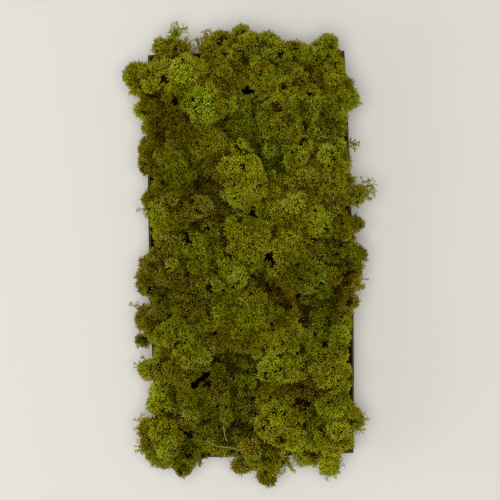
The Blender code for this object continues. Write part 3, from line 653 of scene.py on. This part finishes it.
threadSettings = {
    # where the threads fork, over the lobes
    "spacing": 2.21,
    "packing": 0.87,  # of a square of that side, what one fork takes
    "scatter": 0.1,
    "missing": 0.05,
    "overlap": 0.96,  # forks deeper than this in another lobe are left out
    "lookDepth": 4.5,  # and so are those further than this below what lies over them, which never show,
    "steepest": -0.2,  # those that point down,
    "rimMargin": 2.0,  # those further than this below the rim, inside the tray,
    "headSkin": 3.0,  # and those deeper than this in a head
    "evenOut": 0.72,  # creases between lobes are drawn this far out to the round of the head
    "strayShare": 0.13,  # some forks reach out past the rest, unless they point straight up or down
    "strayUpright": 0.8,
    "strayed": (0.6, 2.3),
    # stalk, branches and twig at each of them
    "forkDepth": 2.4,  # how far under the surface it lies
    "forkDepthVaries": (0.75, 1.25),
    "rootShare": 0.1,  # how near the stalk's root lies to the middle of the lobe
    "radius": 0.36,
    "stalkShare": 1.05,
    "tipShare": 0.8,
    "branches": 3,
    "branchTurn": 0.32,
    "branchRoot": 0.2,
    "reach": (1.0, 2.2),
    "lift": 0.6,
    "twigFrom": (0.4, 0.8),  # of the way along its branch
    "twigSwing": (-0.9, 0.5),
    "twigScatter": 0.7,
    "twigLength": (0.9, 1.9),
    "twigRadius": 0.31,
    "wallMargin": 1.0,  # forks keep this far off the board
    "wallTouch": 0.4,  # and threads this far
    # their tones: how far along each stem looks where it starts and ends
    "stalkAlong": (0.45, 0.0),
    "branchAlong": (0.3, 0.95),
    "twigAlong": (0.6, 1.0),
    "lobeShade": 0.62,
    "shadeLimits": (0.2, 0.8),
    "headVaries": 0.17,
    "lobeVaries": 0.09,
    "forkVaries": 0.1,
    "threadVaries": 0.15,
    "paintedShadeReach": 7,
    "paintedShadeFrom": -1.0,  # how far below the mean height around it a thread starts to get painted shade
    "paintedShadeOver": 7.5,
    "heightShare": 0.55,  # and all threads get a little painted shade from the crowns down
    "crown": 72.0,
    "crownOver": 25.0,
}

coreSettings = {
    "sink": 6.5,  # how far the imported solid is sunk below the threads, in full from just under the rim up
    "sinkFrom": 30.0,
    "sinkOver": 8.0,
    "sinkMost": 0.6,
    "sprayShare": 0.2,  # what is left of the solid's own sprays
    "heartHeight": 44.0,
    "heartEdge": 10.0,
    "middleShare": 0.76,  # the middle of a lobe, where the threads crowd together, as a ball dark with painted shade
    # how far along a thread they look to be, of what tone and how much painted shade they carry
    "coreMarks": (0.05, 0.5, 0.8),
    "middleMarks": (0.3, 0.5, 0.7),
}


def surfaceForks(heights, meanHeights):
    # places where threads fork, spread evenly over what shows of the lobes
    s = threadSettings
    centres, radii = lobes["centres"], lobes["radii"]
    reachable = radii.max() * 2
    parts = []
    for number, (centre, radius) in enumerate(zip(centres, radii)):
        count = round(4 * math.pi * radius ** 2 / (s["spacing"] ** 2 * s["packing"]))
        ways = unitRows(turnedBall(count) + rng.normal(scale=s["scatter"], size=(count, 3)))
        places = centre + ways * radius
        near = np.flatnonzero(np.einsum("ij,ij->i", centres - centre, centres - centre) < reachable ** 2)
        near = near[near != number]
        apart = np.linalg.norm(places[:, None] - centres[None, near], axis=2)
        keep = np.all(apart > radii[near] * s["overlap"], axis=1) & (rng.random(count) > s["missing"])
        parts.append((np.full(keep.sum(), number), ways[keep], places[keep]))
    lobe, way, place = (np.concatenate(part) for part in zip(*parts))
    head = lobes["heads"][lobe]
    buried = lookUp(heights, place) - place[:, 2]
    shows = (buried < s["lookDepth"]) & (way[:, 2] > s["steepest"])
    inside = shows & (place[:, 2] > trayDepth - s["rimMargin"])
    keep = (inside | pastWall(place)) & ~inWall(place, s["wallMargin"])
    short = np.zeros(len(place))
    for number in range(len(heads["radii"])):
        distance, reach = unevenReach(place, slice(number, number + 1))
        depth = (reach - distance)[:, 0]
        keep &= depth < s["headSkin"]
        short = np.where(head == number, np.clip(depth + lobeSettings["rise"], 0, None), short)
    lobe, head, way, place, short = (part[keep] for part in (lobe, head, way, place, short))
    out = place - heads["centres"][head]
    distance = np.linalg.norm(out, axis=1)[:, None]
    place = place + out * (s["evenOut"] * short[:, None] / distance)
    way = unitRows(way + s["evenOut"] * out / distance * (head >= 0)[:, None])
    hollow = (lookUp(meanHeights, place) - place[:, 2] - s["paintedShadeFrom"]) / s["paintedShadeOver"]
    shelter = np.clip(hollow + s["heightShare"] * (s["crown"] - place[:, 2]) / s["crownOver"], 0, 1)
    stray = (rng.random(len(place)) < s["strayShare"]) & (abs(way[:, 2]) < s["strayUpright"])
    place = place + way * (stray * rng.uniform(*s["strayed"], len(place)))[:, None]
    return lobe, way, place, shelter


def marked(points, faces, along, shade, shelter, straw=0.0):
    # some of a cushion's mesh, with what its threads carry at every point
    marks = {"along": along, "shade": shade, "shelter": shelter, "straw": straw}
    return {"points": points, "faces": faces,
            **{mark: np.broadcast_to(value, len(points)) for mark, value in marks.items()}}


def joined(parts):
    starts = np.cumsum([0] + [len(part["points"]) for part in parts])
    faces = np.concatenate([part["faces"] + first for part, first in zip(parts, starts)])
    marks = {key: np.concatenate([part[key] for part in parts]) for key in parts[0] if key != "faces"}
    points = marks.pop("points")
    marks.update({mark: nearPlaces(points, spots) for mark, spots in markedPlaces.items()})
    return points, faces, marks


def aroundWay(way):
    side = unitRows(np.cross(way, unitRows(rng.normal(size=way.shape))))
    return side, np.cross(way, side)


def threads(start, end, startRadius, endRadius):
    # closed three-sided threads, blunt at both ends, or pointed where the end radius is nought
    side, other = aroundWay(unitRows(end - start))
    corners = [math.cos(t) * side + math.sin(t) * other for t in (0, 2 * math.pi / 3, 4 * math.pi / 3)]
    rings = [start + startRadius * corner for corner in corners]
    if np.any(endRadius):
        rings += [end + endRadius * corner for corner in corners]
        faces = ((2, 1, 0), (3, 4, 5), (0, 1, 4), (0, 4, 3), (1, 2, 5), (1, 5, 4), (2, 0, 3), (2, 3, 5))
    else:
        rings.append(end)
        faces = ((2, 1, 0), (0, 1, 3), (1, 2, 3), (2, 0, 3))
    points = np.stack(rings, axis=1)
    count = len(rings)
    every = np.array(faces)[None] + count * np.arange(len(start))[:, None, None]
    return points.reshape(-1, 3), every.reshape(-1, 3), count


def growThreads(way, place, lobeCentre, lobeShade, shelter):
    # at each fork a stalk out of its lobe, branches that spread to blunt tips, and a fine twig on one of them
    s = threadSettings
    number = len(way)
    column = (number, 1)
    forkShade = lobeShade + s["forkVaries"] * rng.normal(size=number)
    fork = place - way * s["forkDepth"] * rng.uniform(*s["forkDepthVaries"], column)
    parts = []

    def addThreads(start, end, startRadius, endRadius, along, chosen=slice(None)):
        shade = np.clip(forkShade + s["threadVaries"] * rng.normal(size=number), 0, 1)
        clear = np.zeros(number, bool)
        clear[chosen] = True
        clear &= ~inWall((start + end) / 2, s["wallTouch"])
        points, faces, count = threads(start[clear], end[clear], startRadius, endRadius)
        alongEach = np.tile(np.repeat(along, (3, count - 3)), clear.sum())
        parts.append(marked(points, faces, alongEach, np.repeat(shade[clear], count),
                            np.repeat(shelter[clear], count)))

    root = lobeCentre + (fork - lobeCentre) * s["rootShare"]
    addThreads(fork, root, s["radius"] * s["stalkShare"], 0, s["stalkAlong"])
    side, other = aroundWay(way)
    for k in range(s["branches"]):
        angle = 2 * math.pi * (k + rng.uniform(-s["branchTurn"], s["branchTurn"], column)) / s["branches"]
        across = np.cos(angle) * side + np.sin(angle) * other
        end = place + across * rng.uniform(*s["reach"], column)
        end += way * rng.normal(scale=s["lift"], size=column)
        start = fork - way * s["branchRoot"]
        addThreads(start, end, s["radius"], s["radius"] * s["tipShare"], s["branchAlong"])
        middle = start + (end - start) * rng.uniform(*s["twigFrom"], column)
        swing = across * rng.uniform(*s["twigSwing"], column)
        lean = unitRows(way + swing + s["twigScatter"] * rng.normal(size=(number, 3)))
        addThreads(middle, middle + lean * rng.uniform(*s["twigLength"], column), s["twigRadius"], 0,
                   s["twigAlong"], slice(k, None, s["branches"]))
    return parts


def meshOf(node):
    # its corners, merged to a thousandth of a millimetre, and its triangles
    data = node.data
    corners = np.empty(len(data.vertices) * 3, np.float32)
    data.vertices.foreach_get("co", corners)
    points, merged = np.unique((corners.reshape(-1, 3) / mm).round(3), axis=0, return_inverse=True)
    data.calc_loop_triangles()
    triangles = np.empty(len(data.loop_triangles) * 3, np.int32)
    data.loop_triangles.foreach_get("vertices", triangles)
    return points.astype(float), merged.reshape(-1)[triangles].reshape(-1, 3)


def coreOf(node, mine):
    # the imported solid, sunk below the threads: straight down over the tray, and inwards past its walls
    s = coreSettings
    points, triangles = meshOf(node)
    centres = heads["centres"][mine]
    heart = np.array((*centres[:, :2].mean(axis=0), s["heartHeight"]))
    heart[:2] = np.clip(heart[:2], s["heartEdge"] - trayHalf, trayHalf - s["heartEdge"])
    # what stands out past every head is a spray, which is grown anew
    past = np.linalg.norm(points[:, None] - centres[None], axis=2) - heads["radii"][mine]
    nearest = centres[past.argmin(axis=1)]
    loose = (past.min(axis=1) > 0) & pastWall(points)
    points[loose] = ((1 - s["sprayShare"]) * nearest + s["sprayShare"] * points)[loose]
    out = points - heart
    sink = s["sink"] * np.clip((points[:, 2] - s["sinkFrom"]) / s["sinkOver"], 0, 1)
    share = np.minimum(sink / np.maximum(np.linalg.norm(out, axis=1), 1), s["sinkMost"])
    inwards = heart + out * (1 - share)[:, None]
    down = points - np.array((0, 0, 1.0)) * sink[:, None]
    drawnIn = pastWall(points) | inWall(points, threadSettings["wallMargin"])
    return np.where(drawnIn[:, None], inwards, down), triangles


def darkMiddles(centres, radii):
    # small balls of twenty faces, between corners that lie nearest each other, turned at random
    golden = (1 + math.sqrt(5)) / 2
    corners = unitRows(np.array([(0, a, b * golden) for a in (-1, 1) for b in (-1, 1)], float))
    corners = np.concatenate([np.roll(corners, k, axis=1) for k in range(3)])
    apart = np.linalg.norm(corners[:, None] - corners[None], axis=2)
    side = apart[apart > 0.1].min() * 1.01
    faces = []
    for i, j, k in itertools.combinations(range(12), 3):
        if max(apart[i, j], apart[j, k], apart[i, k]) < side:
            outward = np.dot(np.cross(corners[j] - corners[i], corners[k] - corners[i]), corners[i])
            faces.append((i, j, k) if outward > 0 else (i, k, j))
    turns = np.linalg.qr(rng.normal(size=(len(centres), 3, 3)))[0]
    turns *= np.linalg.det(turns)[:, None, None]
    points = centres[:, None] + np.einsum("mi,kij->kmj", corners, turns) * radii[:, None, None]
    every = np.array(faces)[None] + 12 * np.arange(len(centres))[:, None, None]
    return points.reshape(-1, 3), every.reshape(-1, 3)


# open sprays that stand out past the heads: cushion, then root and tip on the plan
sprays = (
    (1, (-64, 178, 54), (-61, 189, 57)), (1, (-57, 168, 50), (-53, 178, 47)),
    (2, (-52, 162, 48), (-47, 172, 46)), (2, (-38, 177, 52), (-38, 184, 50)),
    (2, (-42, 172, 52), (-44, 179, 48)), (1, (-72, 174, 54), (-79, 176, 52)),
    (22, (88, 51, 50), (102, 57, 50)), (22, (88, 46, 50), (99, 47, 47)), (17, (80, 91, 52), (89, 90, 49)),
    (51, (84, -140, 46), (97, -141, 43)), (51, (84, -143, 46), (94, -146, 42)),
    (56, (19, -175, 47), (26, -185, 43)), (56, (27, -171, 47), (34, -182, 43)),
    (58, (64, -176, 47), (69, -188, 43)), (32, (89, -3, 48), (98, -4, 47)),
    (55, (-57, -179, 43), (-54, -186, 40)), (38, (87, -24, 46), (92, -31, 43)),
    (10, (84, 128, 52), (91, 122, 50)), (23, (-84, 38, 50), (-90, 33, 47)),
    (33, (-86, -20, 50), (-93, -27, 46)), (39, (-90, -50, 50), (-96, -44, 47)),
    (44, (-86, -94, 50), (-94, -90, 46)), (53, (-4, -172, 46), (-8, -181, 42)),
    (3, (-30, 178, 52), (-36, 183, 50)), (54, (-84, -158, 52), (-92, -166, 44)),
    (54, (-86, -146, 52), (-94, -141, 46)),
)

spraySettings = {
    "stems": 5,
    "fan": 0.35,
    "rootScatter": 1.5,
    "firstShare": 0.4,
    "forks": 4,
    "branches": 2,
    "spread": 0.42,
    "shorter": (0.6, 0.8),
    "radius": 0.45,
    "thinner": 0.9,
    "tipShare": 0.8,
    "rootAlong": 0.35,
    "tipAlong": 0.85,
    "shade": 0.7,
}


def growSpray(root, tip):
    # stems that fork again and again, each shorter and thinner than the last
    s = spraySettings
    stems, ahead = [], []
    way = unitRows((tip - root)[None])[0]
    reach = np.linalg.norm(tip - root)
    for k in range(s["stems"]):
        lean = unitRows((way + s["fan"] * rng.normal(size=3))[None])[0]
        foot = root + rng.normal(scale=s["rootScatter"], size=3)
        ahead.append((foot, lean, reach * s["firstShare"], s["radius"], s["forks"]))
    while ahead:
        place, lean, length, thick, forks = ahead.pop()
        there = place + lean * length
        stems.append((*place, *there, thick))
        for k in range(s["branches"] if forks else 0):
            turned = unitRows((lean + s["spread"] * rng.normal(size=3))[None])[0]
            shorter = length * rng.uniform(*s["shorter"])
            ahead.append((there, turned, shorter, thick * s["thinner"], forks - 1))
    start, end, radius = np.split(np.array(stems), (3, 6), axis=1)
    margin = threadSettings["wallTouch"]
    clear = ~inWall((start + end) / 2, margin) & ~inWall(end, margin)
    points, faces, count = threads(start[clear], end[clear], radius[clear], radius[clear] * s["tipShare"])
    reached = np.linalg.norm(points - root, axis=1) / reach
    along = s["rootAlong"] + (s["tipAlong"] - s["rootAlong"]) * reached
    return marked(points, faces, np.clip(along, 0, 1), s["shade"], 0.0)


# dry straws caught in the moss: cushion, then points on the plan
straws = (
    (52, (-23, -143, 68), (-22, -150, 69), (-20, -156, 66)),
    (52, (-36, -156, 66), (-28, -160, 68), (-18, -161, 66), (-8, -164, 62)),
    (41, (-10, -37, 74), (-4, -41, 76), (0, -48, 74)),
)

strawSettings = {
    "radius": 0.3,
    "bends": 4,
}


def laidStraw(way):
    s = strawSettings
    fine = np.linspace(0, len(way) - 1, s["bends"] * len(way))
    smooth = np.column_stack([np.interp(fine, np.arange(len(way)), way[:, k]) for k in range(3)])
    smooth[1:-1] = (smooth[:-2] + smooth[1:-1] + smooth[2:]) / 3
    points, faces, count = threads(smooth[:-1], smooth[1:], s["radius"], s["radius"])
    return marked(points, faces, 1.0, 1.0, 0.0, 1.0)


s = threadSettings
heights = heightMap(lobes["centres"], lobes["radii"])
forkLobe, forkWay, forkPlace, forkPaintedShade = surfaceForks(heights, blurred(heights, s["paintedShadeReach"]))
headShade = np.append(s["headVaries"] * rng.normal(size=len(heads["radii"])), 0.0)  # the last is of no head
lobeShade = s["lobeShade"] + s["lobeVaries"] * rng.normal(size=len(lobes["radii"]))
lobeShade = np.clip(lobeShade + headShade[lobes["heads"]], *s["shadeLimits"])
print("moss:", len(forkLobe), "forks")

slotOf = {part["node"]: part["material_slot"] for part in frame["record"]["subparts"]}
cushionNames = sorted(name for name in frame["nodes"] if name != "tray")
s = coreSettings
total = 0
for index, name in enumerate(cushionNames):
    mine = lobes["cushions"][forkLobe] == index
    parts = growThreads(forkWay[mine], forkPlace[mine], lobes["centres"][forkLobe[mine]],
                        lobeShade[forkLobe[mine]], forkPaintedShade[mine])
    core = coreOf(frame["nodes"][name], heads["cushions"] == index)
    own = np.unique(forkLobe[mine])
    middles = darkMiddles(lobes["centres"][own], lobes["radii"][own] * s["middleShare"])
    # the sunk core and the lobes' middles fill the gaps and carry painted shade
    parts += [marked(*core, *s["coreMarks"]), marked(*middles, *s["middleMarks"])]
    parts += [growSpray(*onPlan((root, tip))) for number, root, tip in sprays if number == index + 1]
    parts += [laidStraw(onPlan(way)) for number, *way in straws if number == index + 1]
    points, faces, marks = joined(parts)
    total += len(faces)
    piece = newPiece(name.replace("cushion", "threads"), points, faces, mossMaterials[slotOf[name]], marks)
    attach(piece, "root")
    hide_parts(name)
print("moss:", total, "triangles")

print("tray: board with its flutes open along the rim")
parts = [trayShell(), *(flutedMedium(side) for side in range(4))]
starts = np.cumsum([0] + [len(part[0]) for part in parts])
trayFaces = [tuple(v + first for v in face) for part, first in zip(parts, starts) for face in part[1]]
points, run, inside = (np.concatenate([part[k] for part in parts]) for k in (0, 2, 3))
marks = {"run": run, "inside": inside}
piece = newPiece("fluted_tray", points, trayFaces, boardMaterial(), marks, smooth=False)
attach(piece, "root")
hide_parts("tray")
print("tray:", sum(len(face) - 2 for face in trayFaces), "triangles")

print("studio: floor, light and camera")

studio = {
    "backdropColour": "#e8e6e0",
    "backdropHalf": 4000.0,
    "backdropDrop": 0.2,
    "backdropRoughness": 0.9,
    "backdropSpecular": 0.5,
    "roomColour": "#fbf9f5",
    "roomLight": 0.28,
    "lights": {
        # place, size, power
        "overheadSoftbox": ((-60, -60, 2200), 1000.0, 31.0),
        "windowSoftbox": ((-1700, -450, 1050), 1000.0, 7.2),
    },
    "cameraHeight": 1500.0,
    "fieldWidth": 420.0,
    "aim": (-0.55, 3.42),
}

# matt emulsion paint on a seamless sheet: a plain pale ground that takes soft shadows
floorMaterial, tree, shader = newMaterial(
    "paintedBackdrop", studio["backdropRoughness"], studio["backdropSpecular"])
shader.inputs["Base Color"].default_value = linear(studio["backdropColour"])
corners = [(x * studio["backdropHalf"], y * studio["backdropHalf"], -studio["backdropDrop"])
           for x, y in ((-1, -1), (1, -1), (1, 1), (-1, 1))]
floor = newPiece("floor", corners, ((0, 1, 2, 3),), floorMaterial, smooth=False)

world = bpy.data.worlds.new("softRoom")
world.use_nodes = True
scene.world = world
room = world.node_tree.nodes["Background"].inputs
room["Color"].default_value = linear(studio["roomColour"])
room["Strength"].default_value = studio["roomLight"]

for name, (place, size, power) in studio["lights"].items():
    lightData = bpy.data.lights.new(name, "AREA")
    lightData.size = size * mm
    lightData.energy = power
    light = bpy.data.objects.new(name, lightData)
    scene.collection.objects.link(light)
    light.location = Vector(place) * mm
    light.rotation_euler = (-light.location).to_track_quat("-Z", "Y").to_euler()

cameraData = bpy.data.cameras.new("camera")
cameraData.lens = cameraData.sensor_width * studio["cameraHeight"] / studio["fieldWidth"]
camera = bpy.data.objects.new("camera", cameraData)
scene.collection.objects.link(camera)
camera.location = Vector((*studio["aim"], trayDepth + studio["cameraHeight"])) * mm
camera.rotation_euler = (0, 0, planTurn)
scene.camera = camera
